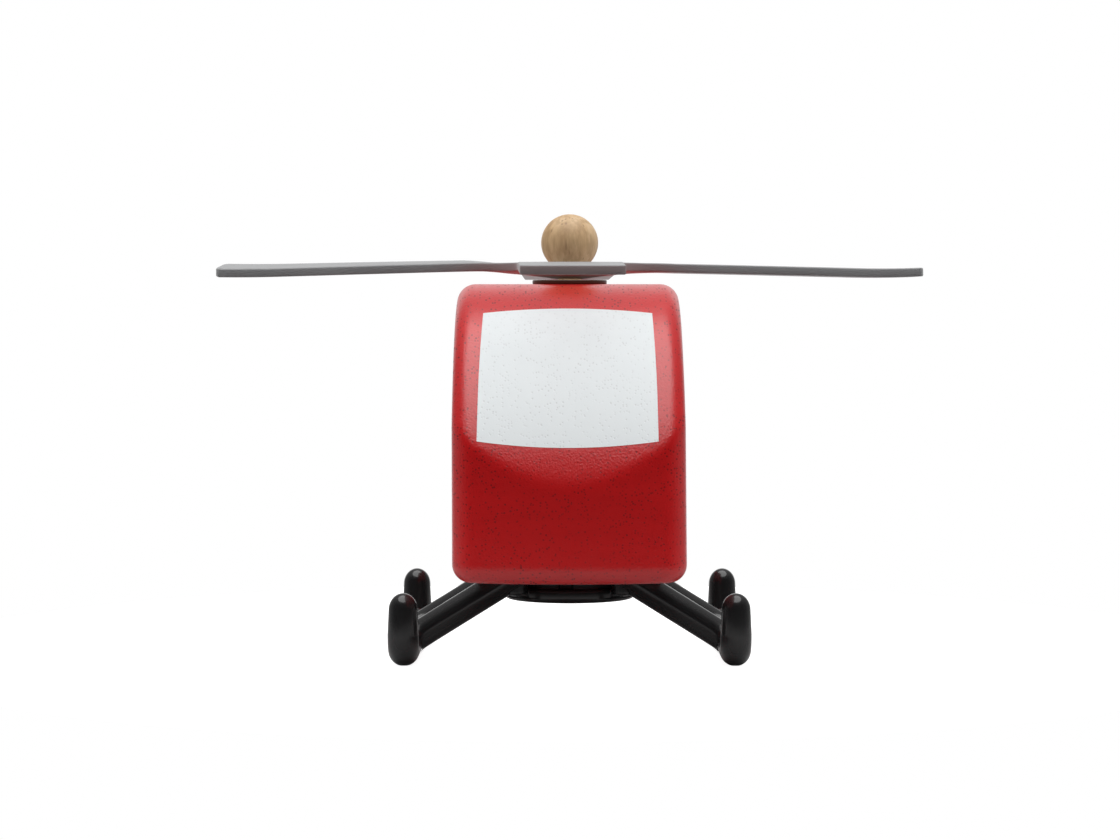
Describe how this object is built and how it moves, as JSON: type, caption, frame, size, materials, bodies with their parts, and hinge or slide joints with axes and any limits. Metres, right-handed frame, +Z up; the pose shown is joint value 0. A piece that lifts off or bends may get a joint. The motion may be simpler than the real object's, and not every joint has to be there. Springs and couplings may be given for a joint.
{
  "type": "toy helicopter",
  "caption": "Wooden toy helicopter: rounded body on skids, free-turning cross rotor under a wooden ball, tail plank with a small side rotor.",
  "frame": {"origin": "on the surface that the skids stand on, under the middle of the whole toy's length and width", "axes": "+Z up, nose towards -Y, tail towards +Y, the toy's left side towards +X"},
  "size_m": [0.2262, 0.2546, 0.1414],
  "materials": {
    "red_wood": "satin red stain over rubberwood with open pores",
    "natural_wood": "unfinished, fine sanded",
    "grey_plastic": "fine matte moulded",
    "black_plastic": "glossy moulded",
    "steel": "zinc plated",
    "white_print": "thin satin ink"
  },
  "bodies": {
    "airframe": {"body": "red_wood", "tail_boom": "red_wood", "boom_dowel_lower": "natural_wood", "boom_dowel_upper": "natural_wood", "rotor_post": "natural_wood", "rotor_ball": "natural_wood", "spacer_washer": "black_plastic", "gear_hub": "black_plastic", "strut_front_left": "black_plastic", "strut_front_right": "black_plastic", "strut_rear_left": "black_plastic", "strut_rear_right": "black_plastic", "skid_left": "black_plastic", "skid_right": "black_plastic", "gear_screw_1": "steel", "gear_screw_2": "steel", "gear_screw_3": "steel", "tail_rotor_peg": "steel", "tail_rotor_ball": "natural_wood", "tail_washer": "black_plastic"},
    "main_rotor": {"main_rotor": "grey_plastic"},
    "tail_rotor": {"tail_rotor": "grey_plastic"}
  },
  "joints": [
    {"name": "main_rotor_spin", "type": "hinge", "parent": "airframe", "child": "main_rotor", "pos_m": [0, -0.014, 0.1218], "axis": [0, 0, 1], "continuous": true},
    {"name": "tail_rotor_spin", "type": "hinge", "parent": "airframe", "child": "tail_rotor", "pos_m": [0.0095, 0.11, 0.098], "axis": [1, 0, 0], "continuous": true}
  ]
}
